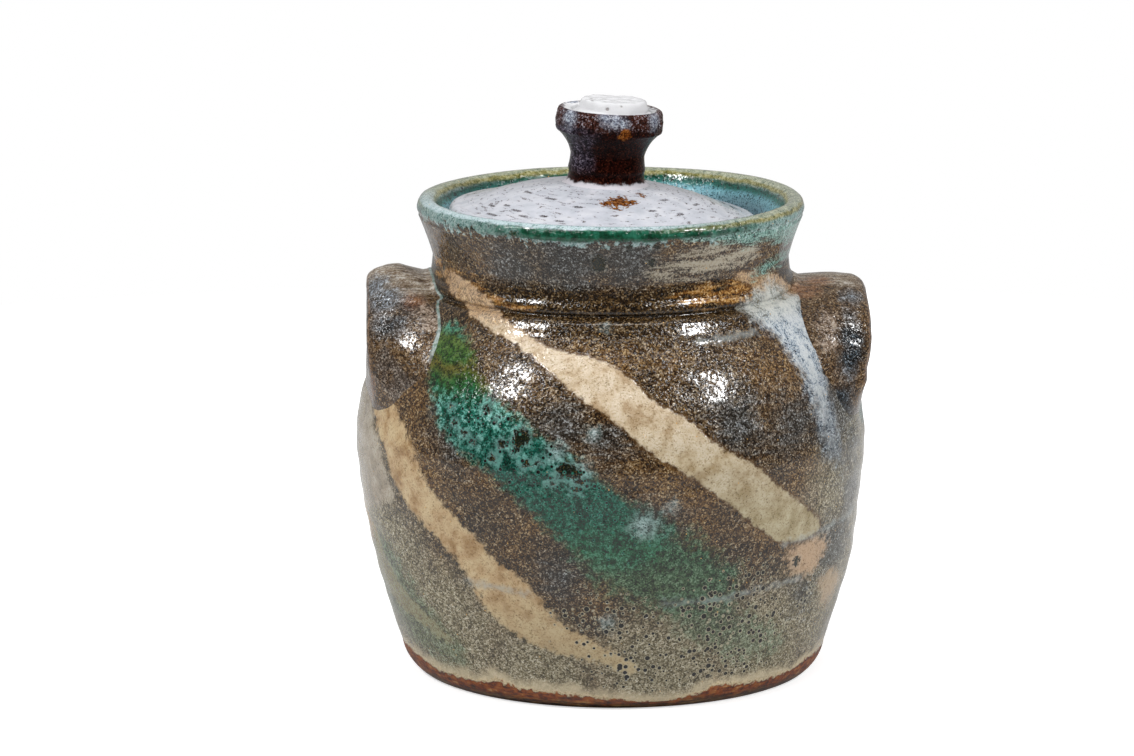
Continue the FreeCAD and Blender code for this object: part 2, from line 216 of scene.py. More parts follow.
pot = {
    "steps": 400,
    "outside": [  # from the middle of the base out, up to the lip, then down inside to the floor
        (0, 1.5, 0, 1), (57.9, 1.5, 0, 7), (59.4, 0.05, 0, 2), (69.2, 0, 0, 3), (70.0, 0.35, 0.1, 0.9),
        (75.8, 9.5, 1.1, 1.2), (90.45, 76.0, 1.83, 1.45), (75.3, 125.7, 5.27, 1.45), (72.4, 129.2, -0.1, 0.8),
        (70.7, 131.3, -0.05, 0.8), (68.5, 135.2, 0.1, 0.7), (66.3, 136.3, 0.2, 0.6), (64.9, 136.9, -0.1, 0.5),
        (64.7, 137.4, -0.1, 0.5),
        (65.5, 138.7, 0.25, 0.5), (64.2, 142.0, 0.35, 0.7), (63.5, 148.2, -0.1, 1.0),
        (68.3, 162.4, -0.35, 1.3), (68.4, 163.6, -0.12, 0.7), (68.7, 166.5, 0.35, 0.7),
        (65.2, 169.05, 1.0, 0.7),
        (61.6, 166.4, 0.7, 0.8), (58.6, 162.0, 0, 1.3), (57.6, 157.9, 0, 1.3), (57.1, 157.4, -0.1, 0.6),
        (50.9, 157.4, 0, 1.6), (50.5, 157.0, 0.1, 0.6), (50.5, 153.0, 0, 2), (57.3, 146.0, 0, 3),
        (57.3, 132.7, 0, 4.5), (84.0, 77.0, -7.6, 4.5), (72.4, 20.5, -1.5, 5), (56.4, 8.5, -4.0, 4),
        (0, 8.5, 0, 6),
    ],
    "lean": 1.4,          # how far the foot stands off the axis, to the right
    "leanBelow": 66,      # height under which it does
    "fullRight": 1.5,     # fuller lower wall on the right
    "fullAt": (1.5, 40),  # and where: radians from the front, height
    "ridge": 0.22,        # depth of the finger ridges from throwing
    "ridgeStep": 11,      # from one ridge to the next
    "ridgeSpan": (12, 134),
    "wobble": 0.35,       # how far out of round a hand leaves it
    "dimples": 0.2,       # depth of its small unevenness
    "ringRise": 0.35,     # how far the throwing lines stand out
    "lidTilt": 3.0,       # degrees the lid and its seat lie askew, left side up
    # brushed bands of glaze: azimuth in degrees from the front, height in mm
    "cream": [
        (-77, 148), (-61, 146), (-49, 143), (-39, 136), (-28, 131), (-21, 127), (-8, 125), (0, 120), (5, 111),
        (13, 106), (19, 96), (29, 88), (35, 79), (47, 67), (54, 59), (40, 56), (31, 64), (22, 76), (13, 86),
        (4, 95), (-3, 105), (-11, 112), (-19, 120), (-29, 127.5), (-40, 131), (-55, 137), (-66, 141),
    ],
    "peach": [(41, 56), (46, 57), (55, 55), (56, 51), (52, 46), (49, 43), (44, 45), (40, 51)],
    "peachLow": [[(54, 40), (61, 42), (68, 40), (70, 33), (64, 28), (57, 31)]],
    "tan": [
        (-76, 112), (-68, 105), (-61, 100), (-54, 91), (-51, 82), (-46, 73), (-36, 62), (-32, 54), (-24, 48),
        (-20, 38),
        (-15, 31), (-4, 23), (4, 15), (-1, 14), (-8, 19), (-20, 22), (-29, 27), (-36, 35), (-39, 46), (-46, 58),
        (-54, 66), (-61, 75), (-64, 86), (-71, 94), (-76, 102),
    ],
    "beige": [(-98, 126), (-79, 112), (-73, 104), (-73, 93), (-67, 86), (-64, 76), (-62, 70), (-74, 62),
        (-90, 60), (-103, 75), (-106, 104)],
    "teal": [
        (-58, 131), (-53, 131), (-46, 127), (-40, 121), (-35, 113), (-27, 106), (-20, 99), (-14, 95), (-7, 86),
        (-1, 78), (5, 70), (8, 62), (4, 54), (-5, 52), (-13, 61), (-19, 68), (-25, 77),
        (-32, 86), (-44, 96), (-48, 103), (-51, 110), (-57, 118), (-61, 125),
    ],
    "tealSpent": [[(-8, 76), (2, 76), (10, 68), (19, 58), (27, 50), (26, 40), (17, 36), (4, 38), (-6, 46),
        (-14, 58)]],
    "tealFaint": [[(6, 42), (14, 46), (22, 40), (34, 31), (44, 23), (45, 16), (34, 15), (22, 20), (13, 28)],
                  [(-86, 54), (-68, 52), (-61, 40), (-52, 27), (-44, 16), (-52, 10), (-68, 14), (-86, 24)]],
    "drip": [
        (41, 138.5), (48, 140.5), (54, 142.5), (60, 141), (66, 137.5), (74, 135), (75, 131), (71, 126),
        (65, 122), (59, 117), (58, 111), (56, 104),
        (57, 97), (58, 88), (57, 82), (53, 83), (51, 92), (50, 100), (50, 112), (49, 118), (48, 124), (46, 130),
        (40, 136),
    ],
    "run": [[(14, 166), (36, 166), (60, 165), (84, 165), (88, 154), (74, 154.5), (60, 157.5), (48, 159.5),
        (36, 160.5), (24, 163.5)],
            [(46, 148), (54, 150.5), (66, 151.5), (84, 152), (84, 149), (66, 148.3), (54, 146.8), (46, 146)]],
    "streaks": [[(6, 154), (26, 156), (44, 158), (48, 155), (34, 152), (8, 150)],
        [(14, 160), (24, 161), (38, 159), (34, 157.5), (22, 158)]],
    "rust": [[(12, 142.5), (24, 144.5), (38, 145.5), (54, 144), (60, 141), (44, 140.5), (24, 140)],
             [(-82, 149), (-66, 147), (-52, 143.5), (-34, 139.2), (-26, 137.5), (-44, 139.8), (-62, 144),
                 (-82, 146)]],
    # the same bands again round the back: (turn in degrees, lift in mm)
    "again": {"teal": [(119, -3), (203, 4)], "cream": [(112, 2), (196, -4)], "tan": [(-52, 5)]},
    "haze": [  # blue-grey drifts: azimuth, height, reach in mm
        (-38, 154, 10), (-16, 156, 13), (2, 158, 11), (26, 102, 9), (40, 100, 10), (58, 98, 12), (4.5, 69, 7),
        (-42, 94, 7),
        (-16, 50, 6), (-14, 104, 7), (-6, 100, 6), (50, 36, 6), (60, 50, 11), (68, 68, 8), (64, 84, 9),
        (120, 60, 18), (160, 110, 18), (-150, 55, 18), (-120, 105, 16), (100, 112, 14), (180, 158, 16),
        (-100, 156, 14),
    ],
    "ash": [  # pale, thin glaze low on the wall
        (-88, 66, 34), (-76, 36, 36), (-52, 24, 26), (-24, 12, 20), (8, 12, 23), (40, 17, 25), (66, 30, 29),
        (86, 58, 32), (90, 86, 28), (58, 72, 15), (72, 86, 20),
        (120, 20, 26), (170, 16, 24), (-140, 20, 28), (-110, 50, 30),
    ],
    "crawls": [  # places where the glaze drew back, showing dark: azimuth, height, reach in mm
        (-24.5, 99, 2.8), (-14, 88.5, 2.8), (-25, 97, 1.8), (-12, 88, 2.0), (-42, 101, 1.2), (-49, 104, 1.3),
        (-33, 111, 1.1), (-8, 156, 2.6), (9, 162, 1.3),
        (8, 156.5, 1.3), (-23, 90, 1.2), (-17, 84, 0.8), (-36, 96, 0.9), (-31, 104, 0.8), (-29, 96, 1.5),
        (-34, 107, 1.4), (-39, 98, 1.0),
        (-44, 106, 0.9), (-26, 94, 1.1), (-20, 91, 1.0), (-11, 85, 1.2), (-12, 82, 0.9), (-31, 91, 1.1),
        (-72, 147, 1.0), (44, 49.5, 1.5),
        (1, 162, 1.0), (150, 96, 2.6), (-165, 70, 2.2), (104, 88, 2.4), (111, 101, 1.2),
    ],
    "milk": [  # small milky blooms: azimuth, height, reach in mm
        (-8, 101, 1.6), (3, 69, 3.4), (9, 76, 1.2), (-5, 33, 1.8), (-5.6, 134, 0.2), (-16.4, 94.7, 2.2),
        (-10.6, 89, 2.0), (140, 84, 2.0), (-150, 60, 2.4),
    ],
    "rings": [  # raised throwing lines the glaze pooled on: azimuth, height
        [(-40, 45.5), (-30, 44), (-24, 43)], [(8, 40.5), (22, 40.3), (32, 42), (46, 43)],
        [(39, 57.5), (47, 57.5), (60, 59.5), (72, 60)],
        [(20, 129), (28, 129), (40, 129.5)],
    ],
    "glazeFoot": [  # height at which the glaze stops, round the foot
        (-180, 7), (-140, 10), (-110, 10), (-76, 10), (-68, 9), (-61, 7), (-53, 6.5), (-43, 6.5), (-37, 8.5),
        (-30, 6), (-22, 6),
        (-10, 5), (-2, 4), (2, 2.6), (10, 2.6), (20, 5), (24, 7.5), (33, 6), (51, 6), (59, 8.5), (76, 9),
        (110, 7), (150, 9), (180, 7),
    ],
    "pitted": [(26, 27, 26), (0, 24, 20), (-12, 34, 12), (30, 44, 12), (50, 34, 10), (150, 30, 26)],
}
bandNames = ("cream", "peach", "tan", "beige", "teal", "drip")
patchNames = ("run", "streaks", "rust", "tealFaint", "tealSpent", "peachLow")
spotNames = ("haze", "ash", "pitted", "crawls", "milk")
unrolled = 80.0  # mm of wall for one radian round the pot, for measuring distances on the painted bands

outsideLine = np.array(bowedLine(pot["outside"][3:21]))  # from the foot to the lip
outsideRun = np.concatenate([[0], np.cumsum(np.hypot(*np.diff(outsideLine, axis=0).T))])


def potRadius(height):  # outer radius of the pot at a height
    return np.interp(height, outsideLine[:, 1], outsideLine[:, 0])


def unroll(azimuth, height):  # a place on the wall laid flat, mm
    return np.radians(azimuth) * unrolled, np.interp(height, outsideLine[:, 1], outsideRun)


def rounded(corners):  # cuts the corners of a closed outline twice, so that it flows
    corners = np.array(corners, float)
    for _ in range(2):
        onward = np.roll(corners, -1, axis=0)
        corners = np.stack([corners * 0.75 + onward * 0.25, corners * 0.25 + onward * 0.75], 1).reshape(-1, 2)
    return corners


def fromLine(across, up, line):  # distance in mm to a broken line laid on the wall
    near = np.full(len(across), 1e3)
    for (ax, ay), (bx, by) in zip(line, line[1:]):
        dx, dy = bx - ax, by - ay
        t = np.clip(((across - ax) * dx + (up - ay) * dy) / max(dx * dx + dy * dy, 1e-9), 0, 1)
        near = np.minimum(near, np.hypot(across - ax - t * dx, up - ay - t * dy))
    return near


def inBand(across, up, corners):  # distance into a closed outline, mm, negative outside
    line = np.stack(unroll(*rounded(corners).T), 1)
    closed = np.vstack([line, line[:1]])
    inside = np.zeros(len(across), bool)
    for (ax, ay), (bx, by) in zip(closed, closed[1:]):
        spans = (ay > up) != (by > up)
        inside ^= spans & (across < (bx - ax) * (up - ay) / ((by - ay) or 1e-9) + ax)
    return np.where(inside, 1, -1) * fromLine(across, up, closed)


# takes a measure round the pot, so that a band may cross the back
def overTurns(measure, azimuth, height, best=np.maximum):
    found = None
    for turn in (-360, 0, 360):
        value = measure(*unroll(azimuth + turn, height))
        found = value if found is None else best(found, value)
    return found


def bandField(azimuth, height, outlines):
    field = np.full(len(azimuth), -40.0)
    for corners in outlines:
        field = np.maximum(field, overTurns(lambda a, u, c=corners: inBand(a, u, c), azimuth, height))
    return np.clip(field, -40, 40)


def spotField(azimuth, height, spots):
    field = np.full(len(azimuth), -40.0)
    for at, up, reach in spots:
        a, u = unroll(at, up)
        field = np.maximum(field, overTurns(lambda x, y: reach - np.hypot(x - a, y - u), azimuth, height))
    return field


def lineField(azimuth, height, lines, half):
    field = np.full(len(azimuth), -40.0)
    for line in lines:
        laid = np.stack(unroll(*np.array(line, float).T), 1)
        field = np.maximum(field, overTurns(lambda x, y: half - fromLine(x, y, laid), azimuth, height))
    return field


def makePot():
    mesh = meshFrom(thrown(bowedLine(pot["outside"]), pot["steps"]), "thrownPot")
    p = points(mesh)
    radius = np.hypot(p[:, 0], p[:, 1])
    angle = np.arctan2(p[:, 0], -p[:, 1])
    azimuth, height = np.degrees(angle), p[:, 2]
    outside = (radius > potRadius(height) - 2.5) & (height > 0.2)
    # finger ridges, a hand's wobble, and the fuller lower wall
    low, high = pot["ridgeSpan"]
    window = np.clip((height - low) / 20, 0, 1) * np.clip((high - height) / 10, 0, 1)
    ridges = 0.5 - 0.5 * np.sin(height * 2 * pi / pot["ridgeStep"] + 0.9 * np.sin(angle) + 0.02 * height)
    wobble = 0.5 + 0.5 * (
        0.6 * np.sin(2 * angle + 0.7 + height / 40) + 0.4 * np.sin(3 * angle + 2.1 - height / 55))
    less = pot["ridge"] * ridges * window + pot["wobble"] * wobble * np.clip(height / 30, 0, 1)
    less += pot["dimples"] * (1 + lumps(p, 9)) * outside * np.clip(height / 12, 0, 1)
    ringOut = np.clip(lineField(azimuth, height, pot["rings"], 1.2) / 1.2, 0, 1) * pot["ringRise"]
    fullAngle, fullHeight = pot["fullAt"]
    fuller = pot["fullRight"] * np.exp(-((angle - fullAngle) / 0.6) ** 2 - ((height - fullHeight) / 17) ** 2)
    grown = np.where(radius > 5, fuller + (ringOut - less) * np.where(outside, 1, 0.3), 0)
    scale = 1 + grown / np.maximum(radius, 1)
    q = p * np.stack([scale, scale, np.ones(len(p))], 1)
    q[:, 0] += pot["lean"] * np.clip(1 - height / pot["leanBelow"], 0, 1) ** 1.6
    # the lid's seat lies askew inside the neck
    seat = (radius < 58.5) & (height > 140) & (height < 164)
    eased = np.clip((163 - height) / 5, 0, 1) * np.clip((height - 146) / 6, 0, 1)
    q[:, 2] -= np.where(seat, p[:, 0] * np.tan(radians(pot["lidTilt"])) * eased, 0)
    # an uneven lip
    lip = np.clip((height - 160) / 9, 0, 1)
    q[:, 2] -= lip * (0.3 + 0.3 * np.sin(2 * angle + 1.0) * 0.6 + 0.12 * np.sin(5 * angle))
    setPoints(mesh, q)
    for name in bandNames + patchNames:
        outlines = pot[name]
        if name in bandNames:  # one outline, and again round the back
            again = pot["again"].get(name, [])
            outlines = [outlines] + [[(a + turn, z + lift) for a, z in outlines] for turn, lift in again]
        mark(mesh, name, np.where(outside, bandField(azimuth, height, outlines), -40))
    for name in spotNames:
        mark(mesh, name, np.where(outside, spotField(azimuth, height, pot[name]), -40))
    mark(mesh, "rings", np.where(outside, lineField(azimuth, height, pot["rings"], 0.9), -40))
    stop = np.interp(azimuth, *np.array(pot["glazeFoot"], float).T)
    within = (radius < 62) & (height > 3)
    mark(mesh, "bare", np.where(within, -40, np.where(height < 2, 20, stop - height)))
    mark(mesh, "inner", np.where(radius < potRadius(height) - 2.5, 62.5 - radius, -5) * (height > 3))
    return mesh


def potGlaze():
    # Stoneware dipped in a brown-grey ash glaze over brushed bands of cream, peach and copper glaze.
    # It is glossy but full of fine crystals, so highlights break into grains; it runs thin and pale low
    # down, hazes blue-grey where it is thick, is opal blue on the lip, and stops short of the foot.
    material, node = newMaterial("dippedAshGlazeStoneware")
    ground, grain, bead, fleck, blot, cloud, speck = grains(node)
    axes = node("SeparateXYZ", {0: ground})
    across, up = axes.outputs["X"], axes.outputs["Z"]
    names = (*bandNames, *patchNames, *spotNames, "rings", "bare", "inner")
    region = dict(zip(names, marked(node, *names)))
    # streaks along the turning, 2 mm high and six times as long, and finer ones where the foot was wiped
    flattened = node("stretched", ground, (0.16, 0.16, 1.0))
    streaks = {"Vector": flattened, "Detail": 3, "Roughness": 0.6}
    drawn, wiped = (node("TexNoise", {**streaks, "Scale": scale}).outputs["Fac"] for scale in (0.55, 0.9))
    mottled = node("between", 0.5, fleck, blot)
    streaky = node("between", 0.3, drawn, speck)
    # brown, darker and lighter in drifts
    dark = node("ramp", speck, stops=[(0.28, "#0a0501"), (0.43, "#23160a"), (0.54, "#41301c"),
        (0.65, "#6c5b43"), (0.79, "#b5a792")])
    warm = node("ramp", speck, stops=[(0.26, "#150a02"), (0.41, "#3a250f"), (0.53, "#5c4225"),
        (0.65, "#866840"), (0.80, "#bda77f")])
    drift = node("range", node("between", 0.4, cloud, blot), 0.42, 0.6)
    body = node("blend", drift, dark, warm)
    pale = node("ramp", speck, stops=[(0.24, "#251d10"), (0.39, "#585038"), (0.52, "#7f755b"),
        (0.64, "#a59d85"), (0.80, "#d2ccbb")])
    body, _ = brushed(node, body, pale, region["ash"], 22.0, 13.0, blot)
    blue = node("ramp", speck, stops=[(0.28, "#0c0a07"), (0.44, "#24231e"), (0.56, "#3d4141"),
        (0.67, "#6f7980"), (0.82, "#bdc5cc")])
    body, _ = brushed(node, body, blue, region["haze"], 46.0, 9.0, node("between", 0.5, blot, drawn),
        strength=0.75)
    # dark iron-brown glaze pooled round the neck
    neckUp = node("scaled", drawn, 7.0, up)
    neckUp = node("fade", neckUp, 150.5, 147.5)
    neckDown = node("fade", up, 126.0, 137.0, 0.0, 0.95)
    neck = node("times", neckDown, neckUp)
    iron = node("ramp", speck, stops=[(0.28, "#080401"), (0.44, "#1c1105"), (0.56, "#36250f"),
        (0.68, "#665031"), (0.82, "#a39680")])
    body = node("blend", neck, body, iron)
    rust = node("ramp", node("between", 0.3, speck, drawn),
        stops=[(0.30, "#150a03"), (0.43, "#623a12"), (0.53, "#a27031"), (0.66, "#cba56a"), (0.82, "#e4d6b8")])
    body, _ = brushed(node, body, rust, region["rust"], 18.0, 2.2, drawn)
    # brushed bands
    iced = node("ramp", speck, stops=[(0.17, "#4a3a24"), (0.27, "#b8ab93"), (0.40, "#efe9de"),
        (0.56, "#ffffff")])
    cream = node("ramp", blot, stops=[(0.34, "#b19a7c"), (0.46, "#cbb99f"), (0.62, "#d8cab5")])
    lower = node("range", up, 110.0, 66.0)
    cream = node("blend", lower, cream,
        node("ramp", blot, stops=[(0.36, "#93845f"), (0.5, "#a89b7a"), (0.62, "#b7ac8e")]))
    onNeck = node("fade", node("scaled", fleck, 9.0, up), 135.5, 140.5, 0.0, 0.6)
    cream = node("blend", onNeck, cream, rust)
    tan = node("ramp", blot, stops=[(0.34, "#9a7a50"), (0.46, "#b99d75"), (0.62, "#c9b38d")])
    tan = node("blend", node("range", up, 44.0, 12.0), tan, "#b3a380")
    beige = node("ramp", blot, stops=[(0.35, "#8b806e"), (0.5, "#a19685"), (0.66, "#b1a999")])
    for name, glaze, ragged, soft, wobble in (
        ("beige", beige, 14.0, 2.5, blot), ("tan", tan, 7.0, 1.2, fleck),
        ("peach", "#b89c7e", 14.0, 3.2, fleck), ("peachLow", "#b5a084", 14.0, 3.5, blot),
        ("cream", cream, 4.0, 0.6, fleck), ("streaks", "#b3aa97", 26.0, 2.6, streaky)):
        if name == "cream":  # the brown glaze pulls to a darker line along the cream
            body, _ = brushed(node, body, "#5a3d1c", region[name], 4.0, 0.7, fleck, lift=0.9, strength=0.6)
        glaze = node("tint", 0.8, glaze, iced)
        body, mask = brushed(node, body, glaze, region[name], ragged, soft, wobble)
        if name == "cream":
            creamMask = mask
    # copper band: olive at the top, teal in the middle, grey-green where it runs out
    rise = node("times", up, 1 / 160)
    waver = node("scaled", blot, 0.09, rise)
    copper = node("ramp", waver, stops=[
        (0.18, "#6b7c61"), (0.33, "#4d6e4f"), (0.42, "#2a6848"), (0.50, "#085e49"), (0.60, "#015548"),
        (0.70, "#056c59"), (0.75, "#27612a"), (0.785, "#665a15"), (0.81, "#3c6420"), (0.835, "#5c6c2a"),
        (0.865, "#4f927b")])
    milky = node("between", 0.35, node("between", 0.5, blot, fleck), speck)
    milky = node("fade", milky, 0.46, 0.65, 0.0, 0.85)
    opal = node("range", node("scaled", blot, 16.0, up), 98.0, 112.0, 0.06, 1.0)
    olive = node("range", node("scaled", blot, 9.0, up), 113.0, 117.0, 1.0, 0.04)
    milky = node("times", milky, opal)
    milky = node("times", milky, olive)
    copper = node("blend", milky, copper, "#8ac6bf")
    veiled = node("ramp", speck, stops=[(0.22, "#06100a"), (0.36, "#5c786c"), (0.52, "#d3e4dc"),
        (0.66, "#ffffff")])
    copper = node("tint", 0.9, copper, veiled)
    copper = node("tint", 0.7, copper, node("ramp", fleck, stops=[(0.36, "#6d8d82"), (0.56, "#ffffff")]))
    crystals = node("times", node("range", speck, 0.58, 0.8, 0.0, 0.25), olive)
    copper = node("blend", crystals, copper, "#86bba6")
    for name, strength in (("tealFaint", 0.6), ("tealSpent", 0.8)):  # where the band runs out it goes patchy
        body, _ = brushed(node, body, copper, region[name], 30.0, 5.0, mottled, strength=strength)
    body, tealMask = brushed(node, body, copper, region["teal"], 9.0, 2.4, fleck)
    milk = node("ramp", speck, stops=[(0.25, "#33463f"), (0.42, "#8aa3a0"), (0.6, "#bccdcf")])
    body, _ = brushed(node, body, milk, region["milk"], 9.0, 3.4, fleck, strength=0.6)
    # blue-white glaze run down beside the right lug, and the opal run under the lip
    clumped = node("scaled", blot, -1.3, node("plus", speck, 0.65))
    white = node("ramp", clumped, stops=[(0.18, "#252c36"), (0.31, "#6b7b8b"), (0.43, "#a6b1bb"),
        (0.64, "#ced3d5")])
    white = node("blend", node("range", up, 130.0, 136.0, 0.0, 0.3), white, "#cfc4a0")
    white = node("blend", node("range", up, 124.0, 84.0, 0.0, 0.8), white, blue)
    body, _ = brushed(node, body, white, region["drip"], 22.0, 3.6, mottled, lift=0.6)
    opalRun = node("ramp", speck, stops=[(0.28, "#1c332c"), (0.44, "#4f7a6f"), (0.6, "#82aca1"),
        (0.8, "#b8cfc6")])
    body, _ = brushed(node, body, opalRun, region["run"], 16.0, 2.0, streaky)
    body, _ = brushed(node, body, "#9aa3a3", region["rings"], 9.0, 1.4, node("between", 0.4, fleck, blot),
        strength=0.45)
    # lip: opal drips, a copper-green bead, a gold line towards the right, opal blue over the crown, partly a
    # painted reflection of the white room, and inside
    opalLip = node("ramp", speck, stops=[(0.26, "#3b5a57"), (0.4, "#7da09d"), (0.6, "#a9c3c3"),
        (0.8, "#c6d6d6")])
    lipBead = node("ramp", fleck, stops=[(0.36, "#072c1c"), (0.5, "#0e4630"), (0.66, "#2a6a54")])
    beadUp = node("scaled", node("between", 0.35, blot, fleck), 4.0, up)
    dripUp = node("scaled", node("between", 0.6, blot, fleck), 22.0, up)
    gold = node("ramp", node("between", 0.6, fleck, speck),
        stops=[(0.35, "#4f5122"), (0.5, "#837b42"), (0.65, "#a9a57c")])
    rightward = node("range", across, 8.0, 48.0)
    behind = node("range", axes.outputs["Y"], -20.0, 20.0)
    golden = node("times", node("Math", {0: rightward, 1: behind}, operation="MAXIMUM"), 0.9)
    leftward = node("range", node("scaled", blot, 40.0, across), -12.0, -36.0, 1.0, 0.25)
    paler = node("range", node("scaled", blot, 30.0, across), 44.0, 68.0, 1.0, 0.3)
    leftward = node("times", leftward, paler)
    crownUp = node("scaled", blot, 2.0, up)
    # painted reflection: the pale crown stands partly for the opal glaze, partly for the white room seen in the
    # lip's top, strongest on the left
    crownPaleAndReflection = node("range", golden, 0.0, 1.0, 0.95, 0.2)
    crown = node("ramp", speck, stops=[(0.22, "#4a6864"), (0.36, "#9cb4b5"), (0.6, "#bccbd0")])
    for value, low, high, glaze, strength in (
        (dripUp, 174.0, 175.6, opalLip, 0.8), (beadUp, 165.6, 166.5, lipBead, leftward),
        (crownUp, 167.0, 168.2, gold, golden), (crownUp, 168.6, 169.3, crown, crownPaleAndReflection)):
        mask = node("fade", value, low, high, 0.0, strength)
        body = node("blend", mask, body, glaze)
    # inside: green under the crown, then a blue-teal throat with dark specks, paler below
    throat = node("ramp", node("range", beadUp, 140.0, 170.0), stops=[
        (0.0, "#93a5ab"), (0.70, "#8fb2bf"), (0.84, "#6fa3ae"), (0.885, "#2a6860"), (0.95, "#123d2b")])
    dots = node("ramp", speck, stops=[(0.27, "#0c1614"), (0.36, "#93a7a7"), (0.48, "#ffffff")])
    throat = node("tint", 1.0, throat, dots)
    innerMask = node("fade", node("scaled", fleck, 2.0, region["inner"]), 1.6, 2.4)
    body = node("blend", innerMask, body, throat)
    # crawled spots show dark body through a ragged hole, with a pale halo where the glaze gathered
    halo = node("blend", tealMask, "#86928e", "#8fc4bc")
    strength = node("range", tealMask, 0.0, 1.0, 0.12, 0.3)
    body, _ = brushed(node, body, halo, region["crawls"], 9.0, 1.0, fleck, lift=1.5, strength=strength)
    hollow = node("ramp", grain, stops=[(0.4, "#030704"), (0.58, "#12200f"), (0.68, "#5b4420")])
    body, crawlMask = brushed(node, body, hollow, region["crawls"], 7.0, 0.4, node("between", 0.5, fleck, bead),
        lift=0.1)
    # pinholes left by bubbles: rimmed and dark low on the wall, bare dark dots in the copper band
    holes = node("TexVoronoi", {"Vector": ground, "Scale": 1 / 2.4})  # cells of 2.4 mm
    chance = node("SeparateColor", {0: holes.outputs["Color"]}).outputs[0]
    copperDots = node("range", up, 60.0, 88.0, 0.25, 0.75)
    copperDots = node("times", copperDots, node("range", up, 112.0, 106.0))
    copperDots = node("times", copperDots, tealMask)
    area = node("range", region["pitted"], -5.0, 7.0)
    area = node("Math", {0: area, 1: copperDots}, operation="MAXIMUM")
    reach = node("range", chance, 0.1, 1.0, 0.16, 0.38)
    reach = node("times", reach, area)
    edge = node("Math", {0: reach, 1: holes.outputs["Distance"]}, operation="SUBTRACT")
    rimMask = node("range", edge, -0.16, -0.06, 0.0, 0.75)
    rimMask = node("times", rimMask, node("range", reach, 0.05, 0.1))
    holeMask = node("fade", edge, -0.05, 0.02)
    body = node("blend", rimMask, body, node("blend", tealMask, "#b5ad93", "#2f7a6a"))
    body = node("blend", holeMask, body, "#090704")
    # a few gold grains of rutile
    gems = node("TexVoronoi", {"Vector": ground, "Scale": 1 / 5.5, "Randomness": 1.0})
    gem = node("range", gems.outputs["Distance"], 0.05, 0.035)
    body = node("blend", gem, body, "#c79a55")
    # glaze thins to cream, then the bare toasted clay of the foot
    body, _ = brushed(node, body, "#cbbc9d", region["bare"], 9.0, 2.4, blot, lift=3.2, strength=0.8)
    body, _ = brushed(node, body, node("tint", 0.8, "#cdbd9c", iced), region["bare"], 4.0, 0.5, fleck, lift=1.2)
    burnt = node("ramp", node("between", 0.5, wiped, fleck), stops=[
        (0.36, "#220b04"), (0.45, "#5a2508"), (0.52, "#86410e"), (0.60, "#995c24"), (0.68, "#bb9062")])
    lowest = node("range", node("scaled", blot, 6.0, up), 6.5, 4.5, 0.0, 0.8)
    burnt = node("blend", lowest, burnt,
        node("ramp", wiped, stops=[(0.42, "#1f1408"), (0.55, "#4a3a1a"), (0.68, "#7d6840")]))
    clay = node("ramp", speck, stops=[(0.36, "#6d4a31"), (0.5, "#9a7250"), (0.64, "#ad8b68")])
    under = node("range", up, 0.6, 0.2)
    fromAxis = node("VectorMath", {0: node("stretched", ground, (1, 1, 0))}, operation="LENGTH")
    dished = node("range", fromAxis.outputs["Value"], 66.5, 65.5)
    burnt = node("blend", node("Math", {0: under, 1: dished}, operation="MAXIMUM"), burnt, clay)
    skin, bareMask = brushed(node, body, burnt, region["bare"], 5.0, 0.3, fleck)
    # relief in mm: crystal grain, beads that break the highlights, soft ripples, and thickness at the edges
    smooth = node("range", node("plus", creamMask, tealMask, use_clamp=True), 0.0, 1.0, 1.0, 0.8)
    raised = node("range", bead, 0.5, 0.74, 0.0, 0.11)  # glassy between the beads
    relief = node("scaled", grain, 0.016, raised)
    relief = node("times", relief, smooth)
    for value, height in ((fleck, 0.05), (blot, 0.35), (drawn, 0.05), (holeMask, -0.4), (crawlMask, -0.25),
            (bareMask, -0.3), (creamMask, 0.1)):
        relief = node("scaled", value, height, relief)
    gloss = node("range", bareMask, 0.0, 1.0, 0.09, 0.5)
    finishMaterial(node, {"Base Color": skin, "Roughness": gloss, "IOR": 1.52}, relief)
    return material


potMesh = makePot()
potMaterial = potGlaze()
place(potMesh, "thrownPot", "pot", "pot_body", potMaterial)


# ---- the ear lugs

